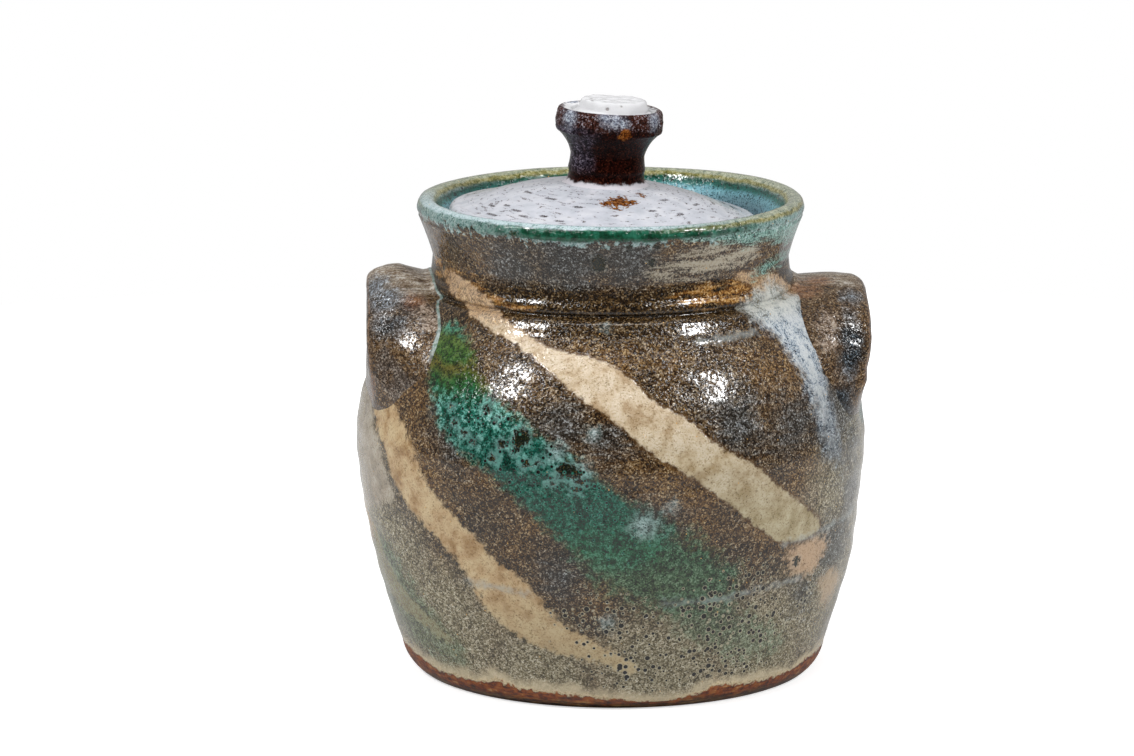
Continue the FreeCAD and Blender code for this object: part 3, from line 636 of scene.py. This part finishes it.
lugs = {
    "leftLug": {
        "node": "handle_left", "side": -1, "middle": 114, "arch": 1.7, "tuck": 0.6,
        # drawn out from inside the wall: distance out, half width, top, bottom
        "stations": [
            (45, 46, 141.6, 101), (62, 46, 141.6, 100.5), (70, 43, 144.0, 100), (75, 38.5, 145.5, 100),
            (79, 35, 145.2, 101), (83.5, 31.5, 143.8, 104),
            (86.0, 29, 142.0, 109), (86.7, 26.5, 140.2, 113)],
        # pressed in: out, across, up, reach, depth
        "dents": [(72, -24, 135, 4.5, 1.7), (80, -27, 129, 5.5, 0.6), (76, -33, 121, 6, -0.8),
            (67, -27, 137, 5, -0.6), (85, -20, 133, 4, 0.7)],
        "flare": (1.6, 7.0), "slant": 0.045,
        # drifts of the glaze, and painted shade (deep) in the dents and under the lug: out, across, up, reach
        "blue": [(81, -20, 136, 6.5), (84, -12, 139, 6), (76, -31, 128, 3), (84, -26, 130, 3), (83, 10, 130, 8),
            (80, 26, 120, 8)],
        # deep: painted shade in the dents
        "deep": [(80, -28, 127, 4), (72, -24, 135, 3.2), (77, -29, 129, 2.5)],
        "toast": [(71, -24, 137, 3.2)],
        "pale": [(67, -29, 135, 3.5), (66, -33, 129, 3.5), (68, -33, 124, 2)],
    },
    "rightLug": {
        "node": "handle_right", "side": 1, "middle": 106, "arch": 1.85, "tuck": 2.2,
        "stations": [
            (45, 44, 139.6, 97), (68, 43, 139.6, 97), (76, 40, 140.2, 97.5), (81, 37.5, 140.2, 98.5),
            (86.3, 35, 139.7, 101), (89.5, 32.5, 138.0, 104.5),
            (90.8, 30, 135.2, 108), (91.1, 28, 131.8, 112.5)],
        "dents": [(80, -36, 117, 6.0, 1.4), (84, -30, 126, 5.0, 1.0), (76.5, -38, 119, 3.5, -0.9),
            (83, -35, 106, 4, 0.8)],
        "flare": (1.2, 7.0), "slant": 0.0,
        "blue": [(82, -27, 131, 2.5), (84, -18, 136, 3.5), (81, -35, 112, 2.5), (86, 12, 124, 8),
            (80, 28, 114, 7)],
        "pale": [(75, -31, 130, 5), (78, -29, 134, 4), (75, -36, 122, 3.5)],
        # deep: painted shade in the dents and in the crevice under the lug
        "deep": [(83, -31, 123, 5.0), (82.5, -33, 116, 4.5), (79, -38, 104, 4.5)],
        "toast": [(67, -16, 140, 6), (72, -8, 140, 5)],
    },
}
lugGrid = 0.8     # mm, the size of the faces a lug is made of
lugDimples = 0.3  # mm, depth of its small unevenness


def makeLug(spec):
    bm = bmesh.new()
    ring = bmesh.ops.create_circle(bm, segments=64, radius=1.0)["verts"]
    section = [(v, v.co.x, v.co.y) for v in ring]

    def station(verts, out, half, top, bottom):
        for v, (_, c, r) in zip(verts, section):
            if r > 0:
                y = abs(c) ** (2 / spec["arch"])
                z = spec["middle"] + (top - spec["middle"]) * r ** (2 / spec["arch"])
            else:
                y = abs(c) ** 0.4
                z = spec["middle"] - (spec["middle"] - bottom) * abs(r) ** 0.6
            v.co = Vector((out, half * y * (1 if c > 0 else -1), z))

    station(ring, *spec["stations"][0])
    bmesh.ops.contextual_create(bm, geom=ring)
    for stop in spec["stations"][1:]:
        drawn = bmesh.ops.extrude_edge_only(bm,
            edges=[e for e in bm.edges if e.verts[0] in ring and e.verts[1] in ring])
        fresh = {v for v in drawn["geom"] if isinstance(v, bmesh.types.BMVert)}
        # keep the ring in the section's order
        ring = [next(e.other_vert(v) for e in v.link_edges if e.other_vert(v) in fresh) for v in ring]
        station(ring, *stop)
    bmesh.ops.contextual_create(bm, geom=ring)
    bmesh.ops.recalc_face_normals(bm, faces=bm.faces)
    rough = bpy.data.objects.new("rough", meshFrom(bm, "rough"))
    bpy.context.scene.collection.objects.link(rough)
    grid = rough.modifiers.new("grid", "REMESH")
    grid.mode, grid.voxel_size = "VOXEL", lugGrid
    even = rough.modifiers.new("even", "SMOOTH")
    even.factor, even.iterations = 0.5, 5
    mesh = bpy.data.meshes.new_from_object(rough.evaluated_get(bpy.context.evaluated_depsgraph_get()))
    bpy.data.objects.remove(rough)
    p = points(mesh)
    # the end leans back from the front, and tucks in low down
    tucked = spec["tuck"] * np.clip((121 - p[:, 2]) / 10, 0, 1)
    p[:, 0] -= (spec["slant"] * p[:, 1] + tucked) * np.clip((p[:, 0] - 68) / 12, 0, 1)
    normal = normalsOf(mesh)
    start = p.copy()
    for x, y, z, wide, deep in spec["dents"]:
        away = np.linalg.norm(start - (x, y, z), axis=1)
        p -= normal * (deep * np.exp(-(away / wide) ** 2))[:, None]
    p -= normal * (lugDimples * (1 + lumps(p, 7, 3.0 * spec["side"])))[:, None]
    # clay smeared along the wall: a tight fillet high up, a wide one low down
    radius = np.hypot(p[:, 0], p[:, 1])
    slope = potRadius(p[:, 2] - 0.5) - potRadius(p[:, 2] + 0.5)
    wall = np.stack([p[:, 0] / radius, p[:, 1] / radius, slope], 1)
    wall /= np.linalg.norm(wall, axis=1)[:, None]
    sideways = normal - wall * (normal * wall).sum(1)[:, None]
    tight, wide = spec["flare"]
    low = np.clip((130 - p[:, 2]) / 14, 0, 1)
    smear = tight + (wide - tight) * low
    gap = np.maximum(radius - potRadius(p[:, 2]), 0)
    p += sideways * (np.clip(1 - gap / (1.5 + 0.9 * smear), 0, 1) ** 2 * smear)[:, None]
    # the buried side lies just under the pot's skin
    radius = np.hypot(p[:, 0], p[:, 1])
    p[:, :2] *= (np.maximum(radius, potRadius(p[:, 2]) - 2.4) / radius)[:, None]
    mark(mesh, "gap", np.clip(np.hypot(p[:, 0], p[:, 1]) - potRadius(p[:, 2]), -5, 40))
    mark(mesh, "outerEdge", np.clip(1 - np.abs(np.abs(normal[:, 0]) - 0.84) / 0.13, 0, 1) * (start[:, 0] > 80))
    for name in ("blue", "deep", "toast", "pale"):
        near = [reach - np.linalg.norm(start - spot, axis=1) for *spot, reach in spec[name]]
        mark(mesh, name, np.max(near, axis=0))
    if spec["side"] < 0:
        p[:, 0] *= -1
        mesh.flip_normals()
    setPoints(mesh, p)
    mesh.shade_smooth()
    return mesh


def lugGlaze():
    # The same ash glaze over pulled clay: it drifts blue-grey in the hollows, breaks to brown lines along
    # the pulled ridges on top and at the outer edge, and toasts orange where it is thin against the neck.
    # Light and shade are painted in as well: the top lighter where it faces the lamps, the dents and the crevice
    # under the lug darker.
    material, node = newMaterial("dippedAshGlazeLugs")
    ground, grain, bead, fleck, blot, cloud, speck = grains(node)
    mottled = node("between", 0.5, fleck, blot)
    axes = node("SeparateXYZ", {0: ground})
    up = axes.outputs["Z"]
    gap, outerEdge, blue, deep, toast, light = marked(node, "gap", "outerEdge", "blue", "deep", "toast", "pale")
    brown = node("ramp", speck, stops=[(0.26, "#110902"), (0.41, "#32210f"), (0.53, "#523c23"),
        (0.65, "#796145"), (0.80, "#b6a488")])
    hazy = node("ramp", speck, stops=[(0.26, "#1f1b15"), (0.41, "#423e38"), (0.54, "#646567"),
        (0.67, "#8d959e"), (0.82, "#c8ced5")])
    drift = node("between", 0.5, blot, cloud)
    body = node("blend", node("fade", drift, 0.52, 0.62, 0.0, 0.3), brown, hazy)
    # pulled ridges run along the lug
    along = node("stretched", ground, (0.09, 0.6, 0.6))
    pulled = node("TexNoise", {"Vector": along, "Scale": 1.0, "Detail": 3, "Roughness": 0.6}).outputs["Fac"]
    # painted light: the top of the lug is coloured lighter where it faces the lamps above, with the pulled streaks
    # run through it
    top = node("fade", node("scaled", blot, 8.0, up), 139.0, 145.0)
    paintedLitTop = node("ramp", node("between", 0.35, pulled, speck),
        stops=[(0.36, "#3a2514"), (0.45, "#745f48"), (0.54, "#9d907d"), (0.64, "#d4cdc3")])
    body = node("blend", top, body, paintedLitTop)
    body, _ = brushed(node, body, hazy, blue, 14.0, 4.0, mottled)
    tan = node("ramp", speck, stops=[(0.26, "#2b1d12"), (0.41, "#6a5645"), (0.55, "#978472"), (0.70, "#bcae9f"),
        (0.84, "#dcd6cc")])
    body, _ = brushed(node, body, tan, light, 12.0, 2.5, mottled)
    # painted shade: the dents and the crevice under the lug are coloured dark, where little light reaches
    paintedHollowShade = node("ramp", speck, stops=[(0.28, "#080706"), (0.47, "#161514"), (0.61, "#2b3238"),
        (0.78, "#76828c")])
    body, _ = brushed(node, body, paintedHollowShade, deep, 10.0, 3.2, mottled)
    burnt = node("ramp", node("between", 0.6, pulled, speck),
        stops=[(0.34, "#4b2710"), (0.5, "#8d5f3b"), (0.66, "#b08a67")])
    body, _ = brushed(node, body, burnt, toast, 8.0, 3.0, fleck, strength=0.75)
    # the glaze breaks to brown on the outermost edge, and pools pale along the upper seam at the front
    broken = node("fade", node("scaled", fleck, 1.2, outerEdge), 0.9, 1.5, 0.0, 0.75)
    body = node("blend", broken, body,
        node("ramp", speck, stops=[(0.3, "#341c0c"), (0.5, "#6f4a2b"), (0.7, "#98775a")]))
    seam = node("fade", node("scaled", fleck, 0.8, gap), 0.85, 0.5)
    high = node("fade", up, 117.0, 124.0)
    atLeft = node("range", axes.outputs["X"], -10.0, -20.0, 0.0, 0.8)
    seam = node("times", node("times", seam, high), atLeft)
    body = node("blend", seam, body, node("ramp", fleck, stops=[(0.4, "#6f8a80"), (0.6, "#aebdbc")]))
    raised = node("range", bead, 0.5, 0.74, 0.0, 0.11)
    relief = node("scaled", pulled, node("range", top, 0.0, 1.0, 0.04, 0.8), raised)
    for value, height in ((grain, 0.03), (fleck, 0.12), (blot, 0.6)):
        relief = node("scaled", value, height, relief)
    finishMaterial(node, {"Base Color": body, "Roughness": 0.1, "IOR": 1.52}, relief)
    return material


lugMaterial = lugGlaze()
for name, spec in lugs.items():
    place(makeLug(spec), name, "pot", spec["node"], lugMaterial)


# ---- the lid and its knob

lid = {
    "steps": 320,
    # radius, height above the lid's own underside; from the middle of the hollow out, and back over the dome
    "outline": [
        (0, 9.7, 0, 1), (44.6, 2.5, -1.9, 3), (47.1, 0.0, 0, 2), (53.6, 0.0, 0, 2), (54.8, 1.4, 0.1, 0.8),
        (54.8, 2.6, 0, 0.8),
        (50.8, 6.3, 1.5, 0.7), (44.0, 8.5, 0.12, 0.8), (16.0, 15.6, 0.9, 0.8), (13.0, 15.9, 0, 1.3),
        (0, 15.4, 0, 3),
    ],
    "place": 157.7,  # height of its underside
    "shift": -2.1,   # to the left
    "pivot": 165.0,  # height it is tilted about
    "dimples": 0.18,   # depth of its small unevenness
    "ridge": 0.06,     # and of the lines of the wheel
    "ridgeStep": 5.2,
    "flecks": [  # dark dashes drawn round by the wheel: x, y, half length in mm
        (-28, -11, 2.2), (-21, -22, 2.0), (-41, -16, 1.6), (-33, -27, 2.0), (-31, -33, 1.5), (-12, -32, 1.2),
        (-41.5, -26, 2.4),
        (-19, -41, 1.2), (31, -15, 1.8), (19, -20, 1.4), (14, -32, 1.0), (-36, -20, 1.2), (-24, -36, 1.0),
        (24, -30, 1.0),
        (38, -4, 1.6), (46, 6, 3.2), (47, 10, 4.0), (43, 14, 2.2), (-30, 28, 2.0), (20, 36, 1.8), (-8, 40, 2.2),
        (36, 26, 1.5)],
    "spots": [  # crawled patches: x, y, reach in mm
        (2.6, -28.0, 4.4), (6.6, -27.4, 2.6), (-1.6, -29.6, 2.6), (1.6, -33.0, 1.8), (4.0, -23.6, 1.8),
        (10.4, -17.6, 1.6), (11.8, -19.8, 0.9),
        (20, 26, 3.2), (-24, 18, 2.0),
    ],
}
knob = {
    "steps": 220,
    "place": 15.8,       # above the lid's underside
    "buttonShift": 1.3,  # the button on top sits off the middle
    "outline": [  # radius, height above the lid
        (0, -0.9, 0, 2), (17.4, -0.9, 0, 2), (13.7, 5.2, -1.9, 0.4), (13.1, 10.2, -0.1, 0.5),
        (17.8, 18.0, -0.75, 0.5), (19.1, 20.0, 0.45, 0.4), (18.9, 24.6, 0.25, 0.45), (18.0, 26.4, 0.25, 0.4),
        (16.6, 26.3, 0.25, 0.35), (13.4, 25.6, -0.3, 0.45), (12.3, 26.3, -0.2, 0.4), (11.7, 29.0, 0.15, 0.45),
        (10.2, 30.0, 0.35, 0.4), (0, 29.7, 0, 0.8),
    ],
    # on the rim: x, y, height, reach in mm
    "ironSpots": [(4.2, -18.0, 19.6, 2.3)],
    "drips": [(-2.5, -18.6, 25.2, 2.2), (0.5, -18.8, 24.6, 2.4), (3.0, -18.6, 24.0, 2.0), (-15, -11, 24, 3.0),
        (15, -11, 24, 2.6), (-14, 12, 25, 4.5)],
}


def askew(p):  # the lid lies tilted in its seat, and a little to the left
    turn = Matrix.Rotation(radians(pot["lidTilt"]), 3, "Y")
    q = (p - [0, 0, lid["pivot"]]) @ np.array(turn.transposed())
    return q + [lid["shift"], 0, lid["pivot"]]


def makeLid():
    mesh = meshFrom(thrown(bowedLine(lid["outline"]), lid["steps"]), "domedLid")
    p = points(mesh)
    radius, angle = np.hypot(p[:, 0], p[:, 1]), np.arctan2(p[:, 0], -p[:, 1])
    top = np.clip((p[:, 2] - 4) / 3, 0, 1) * (radius > 14)
    ridges = lid["ridge"] * np.sin(radius * 2 * pi / lid["ridgeStep"] + angle)
    p[:, 2] += top * (lid["dimples"] * lumps(p, 11, 5.0) - 0.12 + ridges)
    field, dashes = np.full(len(p), -40.0), np.full(len(p), -40.0)
    for x, y, reach in lid["spots"]:
        field = np.maximum(field, reach - np.hypot(p[:, 0] - x, p[:, 1] - y))
    for x, y, half in lid["flecks"]:
        out = hypot(x, y)
        along = (p[:, 1] * x - p[:, 0] * y) / out  # round the lid, and then outward
        apart = np.hypot(np.maximum(np.abs(along) - half, 0), radius - out)
        dashes = np.maximum(dashes, 0.55 - apart - 20 * (p[:, 0] * x + p[:, 1] * y < 0))
    above = normalsOf(mesh)[:, 2] > -0.05
    mark(mesh, "crawls", np.where(above, field, -40))
    mark(mesh, "dashes", np.where(above, dashes, -40))
    mark(mesh, "fromMiddle", radius)
    mark(mesh, "under", np.where(above, -2.0, np.where(radius > 45.5, 3.0, -1.0)))
    p[:, 2] += lid["place"]
    setPoints(mesh, askew(p))
    return mesh


def lidGlaze():
    # An opaque tin-white glaze with a lavender cast, glossy and smooth, flecked with iron that was drawn
    # round by the wheel; it crawled back from the clay in a few ragged brown patches.
    material, node = newMaterial("opaqueLavenderWhiteGlaze")
    ground, grain, bead, fleck, blot, _, speck = grains(node)
    outward, dashes, crawls, under = marked(node, "fromMiddle", "dashes", "crawls", "under")
    base = node("ramp", blot, stops=[(0.35, "#b2b5bd"), (0.5, "#bdbfc7"), (0.65, "#c7c8ce")])
    # wheel-drawn flecks: the pattern is wound round the middle, so it stretches along the turning
    flat = node("stretched", ground, (1, 1, 0))
    ringward = node("VectorMath", {0: flat}, operation="NORMALIZE")
    ringward = node("VectorMath", {0: ringward, "Scale": 14.0}, operation="SCALE")
    wound = node("CombineXYZ", {2: outward})
    wound = node("VectorMath", {0: ringward, 1: wound})
    dash = node("TexNoise", {"Vector": wound, "Scale": 0.8, "Detail": 2, "Roughness": 0.5})
    dashMask = node("range", dash.outputs["Fac"], 0.6, 0.64, 0.0, 0.9)
    broken = node("range", grain, 0.42, 0.55)
    dashMask = node("times", dashMask, broken)
    body = node("blend", dashMask, base, "#4f413e")
    body, _ = brushed(node, body, "#3a3234", dashes, 1.8, 0.45, grain)
    brown = node("ramp", bead, stops=[(0.4, "#351a0a"), (0.5, "#66391a"), (0.62, "#8a5b2e")])
    body, crawlMask = brushed(node, body, brown, crawls, 13.0, 0.3, node("between", 0.5, fleck, bead),
        lift=-0.5)
    # bare clay under the rim, where it stands in the kiln on its ring
    clay = node("ramp", speck, stops=[(0.36, "#6d4a31"), (0.5, "#9a7250"), (0.64, "#ad8b68")])
    body, bareMask = brushed(node, body, clay, under, 0.8, 0.3, fleck)
    relief = 0.0
    for value, height in ((blot, 0.3), (fleck, 0.05), (crawlMask, -0.35), (dashMask, -0.06)):
        relief = node("scaled", value, height, relief)
    gloss = node("range", bareMask, 0.0, 1.0, 0.2, 0.75)
    finishMaterial(node, {"Base Color": body, "Roughness": gloss, "IOR": 1.52}, relief)
    return material


def makeKnob():
    mesh = meshFrom(thrown(bowedLine(knob["outline"]), knob["steps"]), "turnedKnob")
    p = points(mesh)
    radius = np.hypot(p[:, 0], p[:, 1])
    rim = np.clip((p[:, 2] - 17.5) / 2, 0, 1) * np.clip((27 - p[:, 2]) / 1.0, 0, 1) * (radius > 15)
    ragged = lumps(p, 1.5, 9.0) * 0.35 + lumps(p, 0.8, 12.0) * 0.2
    boss = (radius < 14) * (p[:, 2] > 24)
    p[:, 2] += boss * (0.4 * lumps(p, 3.0, 4.0) - 0.3)
    p[:, 0] += knob["buttonShift"] * np.clip((p[:, 2] - 24.5) / 2, 0, 1) * (radius < 14.5)
    scale = 1 + (rim * (ragged - 0.3) + 0.12 * lumps(p, 6, 2.0)) / np.maximum(radius, 3)
    p[:, 0] *= scale
    p[:, 1] *= scale
    for name in ("ironSpots", "drips"):
        near = [reach - np.linalg.norm(p - spot, axis=1) for *spot, reach in knob[name]]
        mark(mesh, name, np.max(near, axis=0))
    mark(mesh, "fromFoot", p[:, 2])
    mark(mesh, "fromMiddle", np.hypot(p[:, 0], p[:, 1]))
    p[:, 2] += lid["place"] + knob["place"]
    setPoints(mesh, askew(p))
    return mesh


def knobGlaze():
    # Iron-saturated dark brown under a blue-white top: glossy, granular, with a blue-grey bloom and a painted
    # sheen on one side, with the pale glaze pooled on the top, broken over a crusty rim.
    material, node = newMaterial("ironSaturatedKnobGlaze")
    ground, grain, bead, fleck, blot, _, speck = grains(node)
    up, spots, drips, outward = marked(node, "fromFoot", "ironSpots", "drips", "fromMiddle")
    axes = node("SeparateXYZ", {0: ground})
    body = node("ramp", speck, stops=[(0.34, "#080201"), (0.5, "#1d0805"), (0.64, "#31110a"),
        (0.80, "#553022")])
    # painted sheen: the left side of the stem is coloured blue-grey, partly a bloom of the glaze, partly the sheen
    # of the lamp on that side
    haze = node("fade", node("scaled", blot, -22.0, axes.outputs["X"]), -16.0, -23.0, 0.0, 0.7)
    haze = node("times", haze, node("range", node("scaled", fleck, 5.0, up), 6.0, 10.0))
    bloomAndSheen = node("ramp", speck, stops=[(0.30, "#110c12"), (0.48, "#2e2832"), (0.64, "#605b6b"),
        (0.8, "#9c97a6")])
    body = node("blend", haze, body, bloomAndSheen)
    # crusty rim, then the pale glaze over the top
    crust = node("ramp", speck, stops=[(0.30, "#120402"), (0.48, "#3a170b"), (0.61, "#5e3a30"),
        (0.75, "#aeabb6")])
    crustMask = node("fade", node("scaled", blot, 6.0, up), 23.0, 25.0, 0.0, 0.85)
    body = node("blend", crustMask, body, crust)
    running = node("ramp", speck, stops=[(0.3, "#4c4a58"), (0.5, "#8c93a3"), (0.66, "#c3cad4")])
    body, _ = brushed(node, body, running, drips, 7.0, 2.4, node("between", 0.5, fleck, bead))
    rusty = node("ramp", speck, stops=[(0.35, "#3a1a06"), (0.5, "#7a3d0e"), (0.7, "#a8682c")])
    body, _ = brushed(node, body, rusty, spots, 2.0, 0.5, fleck)
    topMask = node("fade", node("scaled", fleck, 5.0, outward), 19.6, 18.4)
    topMask = node("times", topMask, node("range", up, 24.0, 25.0))
    body = node("blend", topMask, body, "#d4d4d6")
    # the lid's glaze laps on to the foot of the knob
    footMask = node("fade", node("scaled", fleck, 2.6, up), 3.0, 1.9)
    body = node("blend", footMask, body, "#c6c2c8")
    pits = node("TexVoronoi", {"Vector": ground, "Scale": 1 / 4.5})
    pit = node("range", pits.outputs["Distance"], 0.16, 0.1)
    pit = node("times", pit, topMask)
    body = node("blend", node("times", pit, 0.6), body, "#6d5f58")
    rough = node("range", node("Math", {0: crustMask, 1: topMask}, operation="SUBTRACT"), 0.0, 1.0, 0.12, 0.7)
    relief = node("times", grain, rough)
    relief = node("scaled", blot, 0.35, relief)
    relief = node("scaled", pit, -0.4, relief)
    finishMaterial(node, {"Base Color": body, "Roughness": 0.14, "IOR": 1.5, "Specular IOR Level": 0.06},
        relief)
    return material


place(makeLid(), "domedLid", "lid", "lid", lidGlaze())
place(makeKnob(), "turnedKnob", "lid", "lid_knob", knobGlaze())


# ---- studio

studio = {
    "azimuth": -4.0,      # camera round the pot, degrees
    "pitch": 11.3,        # and above the table
    "distance": 1.9929,   # from the aim point, metres
    "aim": (-15.4, 7.8),  # the pot stands right of the middle: aim across and up, mm
    "lens": 177.8,
    "table": 0.75,        # radius, metres
    "lamps": [  # azimuth, elevation, distance, width, height, watts
        (-62, 44, 1.5, 0.24, 0.32, 14), (54, 40, 1.5, 0.22, 0.32, 13), (0, 77, 1.4, 0.9, 0.28, 6),
    ],
}


def around(azimuth, elevation):  # unit direction from the pot
    a, e = radians(azimuth), radians(elevation)
    return Vector((sin(a) * cos(e), -cos(a) * cos(e), sin(e)))


def makeStudio():
    back = around(studio["azimuth"], studio["pitch"])
    across = Vector((cos(radians(studio["azimuth"])), sin(radians(studio["azimuth"])), 0))
    upward = back.cross(across)
    camera = bpy.data.objects.new("camera", bpy.data.cameras.new("camera"))
    bpy.context.scene.collection.objects.link(camera)
    camera.data.lens, camera.data.sensor_width = studio["lens"], 36.0
    camera.data.clip_start, camera.data.clip_end = 0.05, 50
    aim = Vector((0, 0, 0.095)) + across * studio["aim"][0] * mm + upward * studio["aim"][1] * mm
    camera.location = aim + back * studio["distance"]
    camera.rotation_mode = "QUATERNION"
    camera.rotation_quaternion = back.to_track_quat("Z", "Y")
    bpy.context.scene.camera = camera
    for i, (azimuth, elevation, away, width, height, watts) in enumerate(studio["lamps"]):
        lamp = bpy.data.lights.new(f"softbox{i}", "AREA")
        lamp.shape, lamp.size, lamp.size_y, lamp.energy = "RECTANGLE", width, height, watts
        holder = bpy.data.objects.new(f"softbox{i}", lamp)
        bpy.context.scene.collection.objects.link(holder)
        holder.location = Vector((0, 0, 0.1)) + around(azimuth, elevation) * away
        holder.rotation_mode = "QUATERNION"
        holder.rotation_quaternion = around(azimuth, elevation).to_track_quat("Z", "Y")
    # a round white table top that keeps the pot's shadow; past its edge the room is white too
    bm = bmesh.new()
    bmesh.ops.create_circle(bm, cap_ends=True, segments=96, radius=studio["table"])
    floor = bpy.data.objects.new("tableTop", meshFrom(bm, "tableTop"))
    bpy.context.scene.collection.objects.link(floor)
    material, node = newMaterial("whitePaperSweep")
    seen = node("LightPath").outputs["Is Camera Ray"]
    away = node("VectorMath", {0: node("TexCoord").outputs["Object"]}, operation="LENGTH").outputs["Value"]
    glow = node("fade", away, 0.12, 0.4, 0.6, 1.0)
    lit = node("Emission", {"Color": "#ffffff", "Strength": node("times", seen, glow)})
    paper = node("BsdfDiffuse", {"Color": "#dcdcdc"})
    node("OutputMaterial", {"Surface": node("AddShader", {0: paper, 1: lit})})
    floor.data.materials.append(material)
    world = bpy.data.worlds.new("whiteStudio")
    world.use_nodes = True
    world.node_tree.nodes.clear()
    node = partial(add, world.node_tree)
    path = node("LightPath")
    toward = node("SeparateXYZ", {0: node("TexCoord").outputs["Generated"]})
    behind = node("fade", toward.outputs["Y"], -0.5, 0.5, 0.1, 0.38)
    strength = node("between", path.outputs["Is Camera Ray"], behind, 1.0)
    sky = node("Background", {"Color": "#ffffff", "Strength": strength})
    node("OutputWorld", {"Surface": sky})
    bpy.context.scene.world = world
    bpy.context.scene.view_settings.view_transform = "Standard"
    print("bean pot: studio set")


makeStudio()
